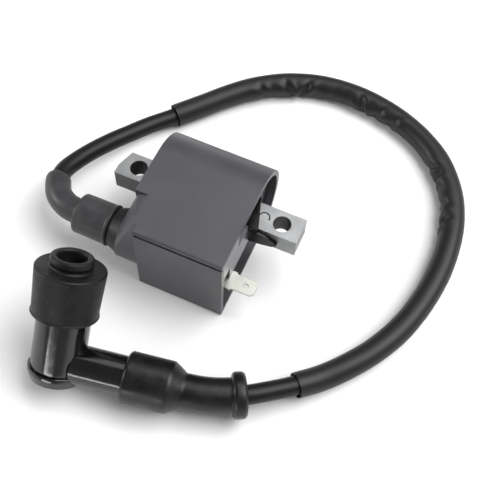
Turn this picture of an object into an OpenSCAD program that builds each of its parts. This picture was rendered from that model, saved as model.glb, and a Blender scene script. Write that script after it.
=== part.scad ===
// Ignition coil for a small engine, with its high-tension lead and plug cap.
// The coil stands on the flat bottom of its case. +Z is up, +X runs along
// the core bar to the terminal end and +Y points to the rounded back.
// The origin is on the base plane, under the middle of the core bar.

/* [Case] */
// Length of the moulded case along the core, without the high-tension end
case_len = 33.7; // [28:0.1:42]
// Depth of the case, from its flat front to its round back
case_d = 53; // [44:0.5:64]
// Height of the case
case_h = 38; // [32:0.5:46]
// Wall of the case
case_wall = 2; // [1.5:0.1:2.5]
// Distance of the open end from the middle of the core
open_end_x = 18.2; // [14:0.1:22]

/* [Core bar] */
// Length of the laminated bar, tip to tip
core_len = 72; // [64:0.5:86]
// Width of the bar
core_w = 10.5; // [8.5:0.1:12]
// Thickness of the bar
core_t = 9; // [7:0.1:10]
// Distance between the two mounting holes
hole_spacing = 57; // [50:0.5:68]
// Diameter of the mounting holes, clearance for an M6 bolt
hole_d = 6.6; // [5.5:0.1:7]

/* [High-tension tower] */
// Diameter of the round hub
hub_d = 19.2; // [16:0.1:22]
// Length of the hub beyond the case's front corner
hub_len = 8.9; // [6:0.1:12]
// Length of the rubber boot's cup
boot_len = 14; // [11:0.1:18]

/* [Lead] */
// Diameter of the high-tension lead
lead_d = 7; // [5:0.5:8]
// Room between the lead and its loose sleeve, each side
sleeve_room = 0.7; // [0.5:0.1:1.5]

/* [Plug cap] */
// Diameter of the cap's barrel
barrel_d = 18.8; // [16:0.1:22]
// Diameter of the cap's side tube
tube_d = 14.2; // [12:0.1:15]
// Lean of the barrel from upright, degrees
cap_lean = 40; // [0:1:60]
// Length of the rubber seal on the barrel
seal_len = 17; // [12:0.5:22]
// Bore of the seal's mouth, for the plug's insulator
mouth_d = 10; // [9:0.1:11]

/* [Part] */
// One piece by name, or all of them

/* [Hidden] */
$fn = 64;

// case, in millimetres from the origin
case_r = case_h / 2;
front_y = -case_d / 2;
back_c = case_d / 2 - case_r;
corner_r = 1;
corner_x = open_end_x - case_len;
end_x = corner_x - 6.8;
groove_w = 1.3;
groove_d = 0.7;

// core bar
core_y = back_c - 4.4;
core_z = case_h * 0.645;
core_top = core_z + core_t / 2;
step_y = core_y - 13.6;

// tower
hub_r = hub_d / 2;
hub_y = front_y + hub_r;
hub_z = case_h * 0.45;
hub_x = corner_x - hub_len;
hub = [hub_x, hub_y, hub_z];
tower_r = 5.9;
spike_r = 1.2;
tower_x = hub_x - 11;
boot_x1 = hub_x - 5.2;
boot_x0 = boot_x1 - boot_len;
boot_r = 7.6;
skirt_r = 8;
lead_r = lead_d / 2;
bore_r = lead_r + 0.1;
neck_r = lead_r + 1.4;
sleeve_bore_r = lead_r + sleeve_room;
sleeve_r = sleeve_bore_r + 0.45;
lie_z = sleeve_bore_r;

// windings, each a rounded rectangle round the bar
p_bob_t = 1;
p_wind_t = 1.8;
s_bob_t = 1;
s_wind_t = 1.9;
wind_r = 2;
coil_x0 = -16.5;
coil_x1 = 12.5;
flange_t = 1.2;
resin_x1 = open_end_x - 2.8;
in_core = 0.05;
tongue_w = 1.7;

// terminal plate and tab at the open end
plate_x0 = resin_x1;
plate_y0 = front_y + case_wall;
plate_y1 = core_y - 5.4;
plate_z0 = 17.6;
plate_z1 = case_h - case_wall;
tab_y = front_y + 7.1;
tab_z = 17.2;
tab_t = 0.8;
tab_w = 6.3;
tab_x1 = open_end_x + 10.4;

// plug cap: a point on the barrel's axis, the tube's way, and how far the
// tube's axis passes in front of that point and above it
cap_pos = [-24.5, -69.1, 11.6];
cap_turn = 10.4;
cap_dip = 2.4;
tube_front = 1.2;
tube_up = 0.2;
tube_dy = -tube_front * cos(cap_lean) + tube_up * sin(cap_lean);
tube_dz = tube_front * sin(cap_lean) + tube_up * cos(cap_lean);
barrel_r = barrel_d / 2;
tube_r = tube_d / 2;
barrel_low = -2.6;
base_r = barrel_r + 0.8;
screw_r = 1.2;
screw_len = 20;
lead_in = 14.5;
barrel_top = 30;
seal_low = 18.2;
seal_top = seal_low + seal_len;
collar_top = seal_top + 4.1;
chamber_r = 6.6;
chamber_low = 14;
well_r = 3.6;
socket_r = 4.4;
socket_low = 15;
socket_top = 25;
fit_gap = 0.05;
tube_end = 33;
cup_start = 24.4;
cup_end = 40.3;
neck_start = 45;
neck_bend_r = 54;
neck_bend = 18;
collar_len = 4.8;
collar_r = 8.2;
cup_r = 9.2;
boot_neck_r = 6.3;

// The lead's route, from inside the tower to inside the cap's tube.
// It leaves the tower level, turns back round the left of the case, comes
// down to the surface and goes round the back and the right.
route = [
    [hub_x + 3.8, hub_y, hub_z],
    [tower_x, hub_y, hub_z],
    hub + [-19.6, 0, 0],
    hub + [-25.6, 0.9, -0.3],
    hub + [-30.6, 3.9, -0.9],
    hub + [-34, 8.9, -1.9],
    [-59.8, -2, 13.8],
    [-58.8, 4.5, 12.2],
    [-56.2, 12.5, 10.3],
    [-52.4, 21, 8.3],
    [-47.6, 29.5, 6.6],
    [-42.2, 38, 5.2],
    [-35.5, 46.5, lie_z],
    [-27.5, 56, lie_z],
    [-19.5, 65.5, lie_z],
    [-10.5, 74.5, lie_z],
    [0, 81.5, lie_z],
    [12, 86.2, lie_z],
    [25, 88, lie_z],
    [38, 87, lie_z],
    [51, 83.6, lie_z],
    [63, 77.6, lie_z],
    [73, 69.3, lie_z],
    [80.6, 58.5, lie_z],
    [85.2, 46, lie_z],
    [87, 33, lie_z],
    [86.8, 20, lie_z],
    [84.8, 7, lie_z],
    [81, -6, lie_z],
    [75.4, -17.5, lie_z],
    [68.4, -27.5, lie_z + 0.2],
    [61.1, -35.8, lie_z + 0.9],
    [54.2, -42.4, lie_z + 2.2],
    [47.3, -48.4, lie_z + 4.1]
];
sleeve_first = 12;
sleeve_last = 32;

// ---- outlines ----

// rounded rectangle centred on the origin, made of squares and round corners
module rounded_rect(w, h, r) {
    square([w - 2 * r, h], center = true);
    square([w, h - 2 * r], center = true);
    for (sx = [-1, 1], sy = [-1, 1])
        translate([sx * (w / 2 - r), sy * (h / 2 - r)]) circle(r = r);
}

// the case's outline seen from the open end: flat front, round back
module case_outline(inset) {
    r = case_r - inset;
    c = corner_r;
    y0 = front_y + inset;
    translate([back_c, case_r]) circle(r = r, $fn = 128);
    translate([y0 + c, inset]) square([back_c - y0 - c, 2 * r]);
    translate([y0, inset + c]) square([back_c - y0, 2 * r - 2 * c]);
    for (z = [inset + c, inset + 2 * r - c])
        translate([y0 + c, z]) circle(r = c, $fn = 32);
}

// extrudes a Y-Z outline along X
module along_x(x0, x1) {
    translate([x0, 0, 0]) rotate([90, 0, 90]) linear_extrude(height = x1 - x0) children();
}

// round bar along X
module bar_x(x0, x1, y, z, r) {
    translate([x0, y, z]) rotate([0, 90, 0]) cylinder(h = x1 - x0, r = r);
}

// rectangular ring round the core bar, t thick, starting gap outside the bar
module core_ring(x0, x1, gap, t) {
    along_x(x0, x1) translate([core_y, core_z]) difference() {
        rounded_rect(core_w + 2 * (gap + t), core_t + 2 * (gap + t), wind_r);
        if (gap < 0.5)
            square([core_w + 2 * gap, core_t + 2 * gap], center = true);
        else
            rounded_rect(core_w + 2 * gap, core_t + 2 * gap, wind_r * 0.8);
    }
}

// places its children in the cap's frame: X along the tube, Z up the barrel
module in_cap() {
    translate(cap_pos) rotate([-cap_lean, cap_dip, cap_turn]) children();
}

// places its children on the tube's axis, with X along it and Z upright
module on_tube() {
    translate(cap_pos) rotate([0, cap_dip, cap_turn]) translate([0, tube_dy, tube_dz]) children();
}

// round bar along the tube's axis, in the cap's frame
module tube_bar(x0, x1, r) {
    translate([x0, -tube_front, tube_up]) rotate([0, 90, 0]) cylinder(h = x1 - x0, r = r);
}

// ---- sweep of a round outline along a route ----

function unit(v) = v / norm(v);
function tangent(p, i) =
    unit((i == len(p) - 1 ? p[i] : p[i + 1]) - (i == 0 ? p[i] : p[i - 1]));
function side(t) = unit(cross([0, 0, 1], t));
function ring(p, i, r, n) =
    let (t = tangent(p, i), s = side(t), u = cross(t, s))
    [for (k = [0 : n - 1]) p[i] + r * (cos(360 * (k + 0.5) / n) * s + sin(360 * (k + 0.5) / n) * u)];
function rings(p, r, n) = [for (i = [0 : len(p) - 1]) each ring(p, i, r, n)];

// solid round tube along the route, n sides
module sweep_solid(p, r, n = 12) {
    m = len(p);
    polyhedron(
        points = rings(p, r, n),
        faces = concat(
            [[for (k = [0 : n - 1]) k]],
            [for (i = [0 : m - 2], k = [0 : n - 1])
                [i * n + k, (i + 1) * n + k, (i + 1) * n + (k + 1) % n, i * n + (k + 1) % n]],
            [[for (k = [n - 1 : -1 : 0]) (m - 1) * n + k]]
        ),
        convexity = 6
    );
}

// hollow round tube along the route, n sides, open at both ends
module sweep_pipe(p, ro, ri, n = 12) {
    m = len(p);
    o = m * n;
    polyhedron(
        points = concat(rings(p, ro, n), rings(p, ri, n)),
        faces = concat(
            [for (i = [0 : m - 2], k = [0 : n - 1])
                [i * n + k, (i + 1) * n + k, (i + 1) * n + (k + 1) % n, i * n + (k + 1) % n]],
            [for (i = [0 : m - 2], k = [0 : n - 1])
                [o + i * n + k, o + i * n + (k + 1) % n, o + (i + 1) * n + (k + 1) % n, o + (i + 1) * n + k]],
            [for (k = [0 : n - 1])
                [k, (k + 1) % n, o + (k + 1) % n, o + k]],
            [for (k = [0 : n - 1])
                [(m - 1) * n + k, o + (m - 1) * n + k, o + (m - 1) * n + (k + 1) % n, (m - 1) * n + (k + 1) % n]]
        ),
        convexity = 6
    );
}

// point on the cap tube's axis, s along it and w to its side
function tube_point(s, w) = cap_pos
    + s * [cos(cap_dip) * cos(cap_turn), cos(cap_dip) * sin(cap_turn), -sin(cap_dip)]
    + (w + tube_dy) * [-sin(cap_turn), cos(cap_turn), 0]
    + tube_dz * [sin(cap_dip) * cos(cap_turn), sin(cap_dip) * sin(cap_turn), cos(cap_dip)];

// the bent neck's centre line, and where it ends in the tube's frame
neck_out = [
    for (a = [0 : 6 : neck_bend])
        tube_point(neck_start + neck_bend_r * sin(a), neck_bend_r * (1 - cos(a)))
];
bend_end = [neck_start + neck_bend_r * sin(neck_bend), neck_bend_r * (1 - cos(neck_bend)), 0];
collar_out = tube_point(
    bend_end[0] + (collar_len + 1) * cos(neck_bend),
    bend_end[1] + (collar_len + 1) * sin(neck_bend)
);
neck_back = [for (i = [len(neck_out) - 1 : -1 : 0]) neck_out[i]];
lead_line = concat(route, [collar_out], neck_back, [tube_point(32, 0), tube_point(lead_in, 0)]);
sleeve_line = [
    for (i = [sleeve_first : sleeve_last])
        [route[i][0], route[i][1], max(sleeve_r, route[i][2] - 0.4)]
];
neck_line = [
    [boot_x0 + 1, hub_y, hub_z],
    hub + [-21.6, 0.1, 0],
    for (i = [3 : 5]) route[i],
    hub + [-34.6, 10.9, -2.3]
];

// ---- coil ----

module coil_case() color("#4c4c50") difference() {
    union() {
        along_x(corner_x, open_end_x) case_outline(0);
        // the back part runs on past the corner
        intersection() {
            along_x(end_x, corner_x + 1) case_outline(0);
            translate([end_x - 1, step_y, -1]) cube([20, case_d, case_h + 2]);
        }
        bar_x(hub_x, corner_x + 1, hub_y, hub_z, hub_r);
        // the slope from the top face down to the hub
        hull() {
            bar_x(hub_x, corner_x, hub_y, hub_z, hub_r);
            translate([corner_x - 1.2, front_y + 3.5, hub_z])
                cube([1.2, step_y + 5 - front_y - 3.5, case_h - hub_z]);
            translate([end_x + 1, step_y, hub_z]) cube([3, 3, case_h - hub_z - 2]);
        }
    }
    // cavity, with the thicker end wall beside the hub
    along_x(corner_x + case_wall, open_end_x + 1) case_outline(case_wall);
    intersection() {
        along_x(end_x + case_wall, corner_x + case_wall + 1) case_outline(case_wall);
        translate([end_x, step_y + case_wall, 0]) cube([20, case_d, case_h]);
    }
    // window for the core bar and the resin beside it
    translate([end_x - 1, core_y - core_w / 2 - tongue_w, core_z - core_t / 2])
        cube([case_wall + 2, core_w + tongue_w, core_t]);
    // seat of the tower insert and its way into the cavity
    bar_x(hub_x - 1, hub_x + 7.5, hub_y, hub_z, tower_r);
    bar_x(hub_x + 7, corner_x + case_wall + 1, hub_y, hub_z, spike_r);
    // groove under the front edge of the top
    translate([corner_x + 0.4, front_y - 1, case_h - 1.2 - groove_w])
        cube([case_len + 1, 1 + groove_d, groove_w]);
}

module core_bar() color("#c9cacb") difference() {
    translate([-core_len / 2, core_y - core_w / 2, core_z - core_t / 2])
        cube([core_len, core_w, core_t]);
    for (s = [-1, 1])
        translate([s * hole_spacing / 2, core_y, core_z - core_t])
            cylinder(h = 2 * core_t, d = hole_d);
    // cropped corner of the left end
    translate([-core_len / 2, core_y + core_w / 2, core_z - core_t])
        linear_extrude(height = 2 * core_t)
            polygon([[-1, 1], [-1, -7], [0, -7], [2.2, 0], [2.2, 1]]);
    // punched interlocks on the top, two beside the case
    for (x = [end_x - 1.4, open_end_x + 3.4])
        translate([x, core_y, core_top - 0.3]) difference() {
            cylinder(h = 1, r = 2.2);
            translate([0, 0, -1]) cylinder(h = 3, r = 1.7);
            translate([-3, -3, -1]) cube([6, 2.4, 3]);
        }
}

module primary_bobbin() color("#d8d2c0") {
    core_ring(coil_x0, coil_x1, in_core, p_bob_t);
    core_ring(coil_x0, coil_x0 + flange_t, in_core, p_bob_t + p_wind_t);
    core_ring(coil_x1 - flange_t, coil_x1, in_core, p_bob_t + p_wind_t);
}

module primary_winding() color("#a8592a")
    core_ring(coil_x0 + flange_t, coil_x1 - flange_t, in_core + p_bob_t, p_wind_t);

module secondary_bobbin() color("#c4bda8") difference() {
    g = in_core + p_bob_t + p_wind_t;
    union() {
        core_ring(coil_x0, coil_x1, g, s_bob_t);
        for (i = [0 : 4])
            translate([i * (coil_x1 - coil_x0 - 1) / 4, 0, 0])
                core_ring(coil_x0, coil_x0 + 1, g, s_bob_t + s_wind_t);
    }
    section_wires();
}

// the one wire that crosses the ribs joins the four sections
module section_wires() {
    g = in_core + p_bob_t + p_wind_t + s_bob_t;
    pitch = (coil_x1 - coil_x0 - 1) / 4;
    for (i = [1 : 3])
        translate([coil_x0 + i * pitch - 0.5, core_y - 0.4, core_z + core_t / 2 + g + s_wind_t - 0.31])
            cube([2, 0.8, 0.4]);
}

module secondary_winding() color("#8d4a22") {
    g = in_core + p_bob_t + p_wind_t + s_bob_t;
    pitch = (coil_x1 - coil_x0 - 1) / 4;
    difference() {
        core_ring(coil_x0 + 1, coil_x1 - 1, g, s_wind_t - 0.3);
        for (i = [1 : 3])
            translate([i * pitch, 0, 0]) core_ring(coil_x0, coil_x0 + 1, g - 1, s_wind_t + 3);
    }
    section_wires();
}

// space that the resin must leave for the windings and what joins them
module buried_shapes() {
    g = in_core + p_bob_t + p_wind_t + s_bob_t + s_wind_t;
    core_ring(coil_x0, coil_x1, 0, g);
    section_wires();
    translate([-core_len / 2, core_y - core_w / 2, core_z - core_t / 2])
        cube([core_len, core_w, core_t]);
    wire_shape();
    strap_shape();
    link_shape();
    bar_x(hub_x, corner_x + case_wall + 3, hub_y, hub_z, spike_r);
    bar_x(tower_x, hub_x + 7.5, hub_y, hub_z, tower_r);
}

module potting_resin() color("#1a1a1c") difference() {
    union() {
        along_x(corner_x + case_wall, resin_x1) case_outline(case_wall);
        intersection() {
            along_x(end_x + case_wall, corner_x + case_wall + 1) case_outline(case_wall);
            translate([end_x, step_y + case_wall, 0]) cube([20, case_d, case_h]);
        }
        // collar of resin round the core bar at the open end
        translate([resin_x1 - 1, core_y - core_w / 2 - 2.4, core_z - core_t / 2 - 1.6])
            cube([open_end_x + 0.4 - resin_x1, core_w + 3.8, core_t + 1.6]);
        // resin over the bar, reaching further out at the front
        translate([0, core_y, core_z + 1]) linear_extrude(height = core_t / 2 + 0.2)
            polygon([
                [resin_x1 - 1, -core_w / 2 - 1.2], [open_end_x + 3.4, -core_w / 2 - 1.2],
                [open_end_x + 3.4, -core_w / 2], [open_end_x - 0.6, core_w / 2 + 1.4],
                [resin_x1 - 1, core_w / 2 + 1.4]
            ]);
        // tongues of resin that ran out beside the bar, one at each end
        translate([resin_x1 + 1, core_y - core_w / 2, core_z - core_t / 2 + 0.4])
            rotate([90, 0, 0]) linear_extrude(height = 1.4)
                polygon([[0, 0], [6, 0.4], [11, 1.8], [12.8, 3.4], [12.2, 4.8], [8, 7], [0, 7.6]]);
        translate([end_x - 1.5, core_y - core_w / 2 - tongue_w, core_z - core_t / 2])
            cube([case_wall + 2.5, tongue_w, core_t]);
    }
    buried_shapes();
    // seat of the terminal plate and the tab's foot
    translate([plate_x0, plate_y0 - 1, plate_z0])
        cube([open_end_x - plate_x0, plate_y1 - plate_y0 + 1, 30]);
    tab_shape();
}

module terminal_plate() color("#a9a9ad") difference() {
    intersection() {
        translate([plate_x0, plate_y0, plate_z0])
            cube([open_end_x - plate_x0 - 0.1, plate_y1 - plate_y0, plate_z1 - plate_z0]);
        along_x(plate_x0 - 1, open_end_x + 1) case_outline(case_wall);
    }
    // the corner cut away beside the core
    translate([plate_x0 - 1, core_y - 14.6, 29]) cube([10, 20, 20]);
    // relief in the front corner, over the tab
    translate([plate_x0 + 1, plate_y0 - 1, plate_z0 - 1]) cube([10, 6.4, 9]);
    tab_shape();
}

module tab_shape() {
    // foot inside the resin, shouldered root and the blade
    translate([resin_x1 - 5, tab_y - 3.75, tab_z - tab_t / 2]) cube([open_end_x - resin_x1 + 6.8, 7.5, tab_t]);
    difference() {
        translate([open_end_x, tab_y - tab_w / 2, tab_z - tab_t / 2])
            linear_extrude(height = tab_t)
                polygon([
                    [0, 0], [tab_x1 - open_end_x - 1.2, 0], [tab_x1 - open_end_x, 1.3],
                    [tab_x1 - open_end_x, tab_w - 1.3], [tab_x1 - open_end_x - 1.2, tab_w], [0, tab_w]
                ]);
        translate([tab_x1 - 3.9, tab_y, tab_z - 2]) cylinder(h = 4, d = 1.7);
    }
}

module primary_tab() color("#e6e4da") tab_shape();

// the enamelled wire from the winding to the foot of the tab
module wire_shape() {
    y = core_y - core_w / 2 - in_core - p_bob_t - p_wind_t - s_bob_t - s_wind_t;
    translate([9, tab_y + 2, tab_z + tab_t / 2]) cube([1, y - tab_y - 1.9, 0.8]);
    translate([9, tab_y + 2, tab_z + tab_t / 2]) cube([resin_x1 - 10.5, 1, 0.8]);
}

module primary_lead_wire() color("#b06a34") wire_shape();

// tinned strip from the winding to the core, which is the earth
module strap_shape() {
    g = in_core + p_bob_t + p_wind_t + s_bob_t + s_wind_t;
    translate([coil_x1, core_y - 2, core_top]) cube([0.5, 4, g]);
    translate([coil_x1, core_y - 2, core_top]) cube([2.4, 4, 0.4]);
}

module ground_strap() color("#cfcfc8") strap_shape();

// hard resin tube that the lead plugs into
module tower_insert() color("#141416") difference() {
    union() {
        bar_x(tower_x, hub_x + 7.5, hub_y, hub_z, tower_r);
        // cone between the boot and the hub
        translate([boot_x1 + 0.05, hub_y, hub_z]) rotate([0, 90, 0])
            cylinder(h = hub_x - boot_x1 - 0.05, r1 = tower_r + 1.3, r2 = hub_r - 0.5);
    }
    bar_x(tower_x - 1, hub_x + 4, hub_y, hub_z, bore_r);
    bar_x(hub_x + 3, hub_x + 9, hub_y, hub_z, spike_r);
}

// brass spike that pierces the lead's core
module tower_spike() color("#b9985a") {
    bar_x(hub_x - 4, corner_x + case_wall + 3, hub_y, hub_z, spike_r);
}

// wire from the secondary winding to the spike
module link_shape() {
    y1 = core_y - core_w / 2 - in_core - p_bob_t - p_wind_t - s_bob_t - s_wind_t;
    translate([corner_x + case_wall + 2, hub_y + 1.1, hub_z - 0.4]) cube([0.8, y1 - hub_y + 0.9, 0.8]);
}

module high_tension_link() color("#b06a34") difference() {
    link_shape();
    bar_x(hub_x + 1, corner_x + case_wall + 4, hub_y, hub_z, spike_r);
    g = in_core + p_bob_t + p_wind_t + s_bob_t + s_wind_t;
    core_ring(coil_x0, coil_x1, 0, g);
}

module tower_boot() color("#3c3c3e") difference() {
    union() {
        // cup over the tower, a little wider at the skirt
        translate([boot_x0, hub_y, hub_z]) rotate([0, 90, 0])
            rotate_extrude()
                polygon([
                    [0, 0], [boot_r - 0.8, 0], [boot_r, 0.8], [boot_r, boot_len * 0.7],
                    [skirt_r, boot_len], [0, boot_len]
                ]);
        sweep_solid(neck_line, neck_r);
    }
    bar_x(tower_x - 0.05, boot_x1 + 1, hub_y, hub_z, tower_r + 0.05);
    sweep_solid(concat([[tower_x + 1, hub_y, hub_z]], [for (i = [2 : 7]) route[i]]), bore_r);
}

module high_tension_lead() color("#222224") difference() {
    sweep_solid(lead_line, lead_r);
    // holes that the spike and the cap's screw make in its ends
    bar_x(hub_x - 4, hub_x + 6, hub_y, hub_z, spike_r);
    in_cap() tube_bar(0, screw_len + 0.3, screw_r + fit_gap);
}

module lead_sleeve() color("#2b2b2e") sweep_pipe(sleeve_line, sleeve_r, sleeve_bore_r);

// ---- plug cap ----

module cap_boot() color("#38383b") difference() {
    union() {
        // cup over the cap's tube
        on_tube() rotate([0, 90, 0]) rotate_extrude() polygon([
            [0, cup_start], [cup_r - 0.9, cup_start], [cup_r, cup_start + 0.9],
            [cup_r, cup_end], [boot_neck_r, neck_start], [0, neck_start]
        ]);
        // neck bent with the lead
        sweep_solid(concat([tube_point(neck_start - 1, 0)], neck_out), boot_neck_r, 24);
        // beaded collar
        on_tube() translate(bend_end) rotate([0, 90, neck_bend]) rotate_extrude() polygon([
            [0, -0.2], [boot_neck_r, -0.2], [collar_r - 0.8, 0.2], [collar_r, 1.2],
            [collar_r, collar_len - 1.2], [collar_r - 1, collar_len], [0, collar_len]
        ]);
    }
    on_tube() rotate([0, 90, 0]) translate([0, 0, cup_start - 1])
        cylinder(h = tube_end + 1.2 - cup_start, r = tube_r + fit_gap);
    sweep_solid(concat([tube_point(tube_end - 1, 0)], neck_out, [collar_out]), bore_r, 24);
}

module cap_body() color("#1b1b1e") in_cap() difference() {
    union() {
        translate([0, 0, barrel_low]) cylinder(h = barrel_top - barrel_low, r = barrel_r);
        tube_bar(0, tube_end, tube_r);
    }
    // chamber for the plug's insulator
    translate([0, 0, chamber_low]) cylinder(h = barrel_top, r = chamber_r);
    // seat of the socket, the resistor well and the seat of the base
    translate([0, 0, barrel_low - 1]) cylinder(h = 30, r = well_r);
    translate([0, 0, barrel_low - 10]) cylinder(h = 11.2, r = barrel_r - 1.6);
    // bore for the lead
    tube_bar(0, tube_end + 1, bore_r);
    // the tube stops at the base's edge
    translate([0, 0, barrel_low - 12]) cylinder(h = 12, r = base_r);
}

module cap_base() color("#202023") in_cap() {
    translate([0, 0, barrel_low - 4.4]) cylinder(h = 2.6, r1 = barrel_r - 0.1, r2 = barrel_r + 0.5);
    translate([0, 0, barrel_low - 1.8]) cylinder(h = 1.8, r = base_r);
    translate([0, 0, barrel_low]) cylinder(h = 1.2, r = barrel_r - 1.6);
}

module cap_screw() color("#b9985a") in_cap() {
    translate([0, 0, -1.4]) cylinder(h = 3, r = 3.2);
    tube_bar(0, screw_len, screw_r);
}

// coil spring between the screw's head and the resistor
module contact_spring() color("#d5d6d8") in_cap() {
    turns = 4;
    steps = 12;
    low = 2;
    high = 5.6;
    line = [
        for (i = [0 : turns * steps])
            [
                2.3 * cos(360 * i / steps),
                2.3 * sin(360 * i / steps),
                low + (high - low) * i / (turns * steps)
            ]
    ];
    sweep_solid(line, 0.35, 8);
}

module suppressor_resistor() color("#d9cfb8") in_cap()
    translate([0, 0, 6]) cylinder(h = 9, r = 3.2);

module plug_socket() color("#c2a463") in_cap() difference() {
    union() {
        translate([0, 0, socket_low]) cylinder(h = socket_top - socket_low, r = socket_r);
        translate([0, 0, chamber_low]) cylinder(h = 1.2, r = chamber_r - 0.02);
    }
    translate([0, 0, chamber_low - 1]) cylinder(h = 2, r = well_r);
    translate([0, 0, socket_low + 1.5]) cylinder(h = 20, r = 3.3);
    translate([0, 0, socket_top - 4.4]) difference() {
        cylinder(h = 1, r = 6);
        cylinder(h = 1, r = socket_r - 0.5);
    }
}

module socket_clip() color("#c8cacc") in_cap()
    translate([0, 0, socket_top - 3.9]) difference() {
        rotate_extrude() translate([socket_r, 0]) circle(r = 0.45, $fn = 24);
        translate([-10, -1, -2]) cube([8, 2, 4]);
    }

module plug_seal() color("#2f2f31") in_cap() rotate_extrude() polygon([
    [barrel_r + fit_gap, seal_low], [barrel_r + 2.4, seal_low], [barrel_r + 2.4, seal_low + 0.3],
    [barrel_r + 2.05, seal_low + 0.8],
    [barrel_r + 2.85, seal_top - 0.4], [barrel_r + 2.45, seal_top], [mouth_d / 2 + 2.6, seal_top],
    [mouth_d / 2 + 2.1, seal_top + 0.5], [mouth_d / 2 + 2.1, seal_top + 1.4],
    [mouth_d / 2 + 2.6, seal_top + 1.9], [mouth_d / 2 + 2.3, collar_top - 0.3],
    [mouth_d / 2 + 1.8, collar_top], [mouth_d / 2 + 0.5, collar_top],
    [mouth_d / 2, collar_top - 0.5], [mouth_d / 2, barrel_top + 1.2],
    [chamber_r, barrel_top + 0.05], [barrel_r + fit_gap, barrel_top + 0.05]
]);

coil_case();
core_bar();
primary_bobbin();
primary_winding();
secondary_bobbin();
secondary_winding();
potting_resin();
terminal_plate();
primary_tab();
primary_lead_wire();
ground_strap();
tower_insert();
tower_spike();
high_tension_link();
tower_boot();
high_tension_lead();
lead_sleeve();
cap_boot();
cap_body();
cap_base();
cap_screw();
contact_spring();
suppressor_resistor();
plug_socket();
socket_clip();
plug_seal();
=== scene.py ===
"""Looks of a small-engine ignition coil with its high-tension lead and plug cap."""

import math

import bmesh
import bpy
from mathutils import Matrix, Vector, noise


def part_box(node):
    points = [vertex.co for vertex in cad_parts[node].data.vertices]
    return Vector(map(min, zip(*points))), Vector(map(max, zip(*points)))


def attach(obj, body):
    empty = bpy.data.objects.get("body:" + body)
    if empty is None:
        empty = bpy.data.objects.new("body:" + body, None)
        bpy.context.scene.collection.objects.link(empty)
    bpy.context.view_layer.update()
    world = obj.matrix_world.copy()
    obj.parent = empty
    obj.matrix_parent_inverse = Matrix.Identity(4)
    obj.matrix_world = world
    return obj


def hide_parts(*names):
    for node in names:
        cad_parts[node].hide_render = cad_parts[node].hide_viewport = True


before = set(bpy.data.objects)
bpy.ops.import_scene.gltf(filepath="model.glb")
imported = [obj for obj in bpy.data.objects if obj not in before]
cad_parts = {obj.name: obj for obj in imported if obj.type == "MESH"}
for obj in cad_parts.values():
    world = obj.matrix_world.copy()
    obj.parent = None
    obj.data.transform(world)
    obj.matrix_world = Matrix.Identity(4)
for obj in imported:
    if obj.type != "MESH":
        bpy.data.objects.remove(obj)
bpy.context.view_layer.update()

bl_info = {
    "name": "Ignition Coil",
    "version": (1, 0, 0),
    "blender": (4, 5, 0),
    "location": "View3D > Sidebar > Coil",
    "description": "Finished pieces and studio for a small-engine ignition coil with its plug cap",
    "category": "Object",
}

MM = 0.001

# ---- places shared with the CAD model, in millimetres ----

HUB = Vector((-24.4, -16.9, 17.1))
CORE_Y = 3.1
PUNCH_MARKS = (-23.7, 21.6)
MARK_REACH = 2.5
HOLES = (-28.5, 28.5)
HOLE_R = 3.3
RESIN_X = 15.4
CAP_POS = Vector((-24.5, -69.1, 11.6))
CAP_TURN = math.radians(10.4)
CAP_DIP = math.radians(2.4)
CAP_LEAN = math.radians(40)
CAP_FRAME = (
    Matrix.Translation(CAP_POS) @ Matrix.Rotation(CAP_TURN, 4, "Z")
    @ Matrix.Rotation(CAP_DIP, 4, "Y") @ Matrix.Rotation(-CAP_LEAN, 4, "X")
)
# the tube's axis passes in front of the barrel's and a little above it
TUBE_SHIFT = (0, -1.2, 0.2)
TUBE_PLACE = CAP_FRAME @ Matrix.Translation(TUBE_SHIFT)
TUBE_FRAME = TUBE_PLACE @ Matrix.Rotation(CAP_LEAN, 4, "X")

# radius of every bore that the lead's end, or the contact train, goes through
LEAD_BORE_R = 3.6
# gap between the cap's mouldings and the rubber that is pushed over them
RUBBER_GAP = 0.05

BARREL_R = 9.4
BARREL_LOW = -2.6
BARREL_TOP = 30.0
BARREL_FLOOR = 1.2
PLUG_ROOM_R = 6.6
PLUG_ROOM_LOW = 14
FOOT_SEAT_R = 7.8
FOOT_STEP_R = 10.2
TUBE_R = 7.1
TUBE_START = 6
TUBE_END = 33.0
BOOT_START = 24.4
LEAD_END = 14.5
NECK_START = 45.0
NECK_BEND_R = 54.0
NECK_BEND = math.radians(18)
COLLAR_LEN = 4.8
SEAL_LOW = 18.2
SEAL_TOP = 35.2
SEAL_MOUTH_R = 5.0

# The lead's route from inside the tower to inside the cap, the same points as the CAD model's.
ROUTE = [
    (-20.6, -16.9, 17.1), (-35.4, -16.9, 17.1), (-44, -16.9, 17.1), (-50, -16, 16.8),
    (-55, -13, 16.2), (-58.4, -8, 15.2), (-59.8, -2, 13.8), (-58.8, 4.5, 12.2),
    (-56.2, 12.5, 10.3), (-52.4, 21, 8.3), (-47.6, 29.5, 6.6), (-42.2, 38, 5.2),
    (-35.5, 46.5, 4.2), (-27.5, 56, 4.2), (-19.5, 65.5, 4.2), (-10.5, 74.5, 4.2),
    (0, 81.5, 4.2), (12, 86.2, 4.2), (25, 88, 4.2), (38, 87, 4.2),
    (51, 83.6, 4.2), (63, 77.6, 4.2), (73, 69.3, 4.2), (80.6, 58.5, 4.2),
    (85.2, 46, 4.2), (87, 33, 4.2), (86.8, 20, 4.2), (84.8, 7, 4.2),
    (81, -6, 4.2), (75.4, -17.5, 4.2), (68.4, -27.5, 4.4), (61.1, -35.8, 5.1),
    (54.2, -42.4, 6.4), (47.3, -48.4, 8.3),
]
SLEEVE_FIRST = 12
SLEEVE_LAST = 32
SLEEVE_WALL = 0.45
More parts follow.
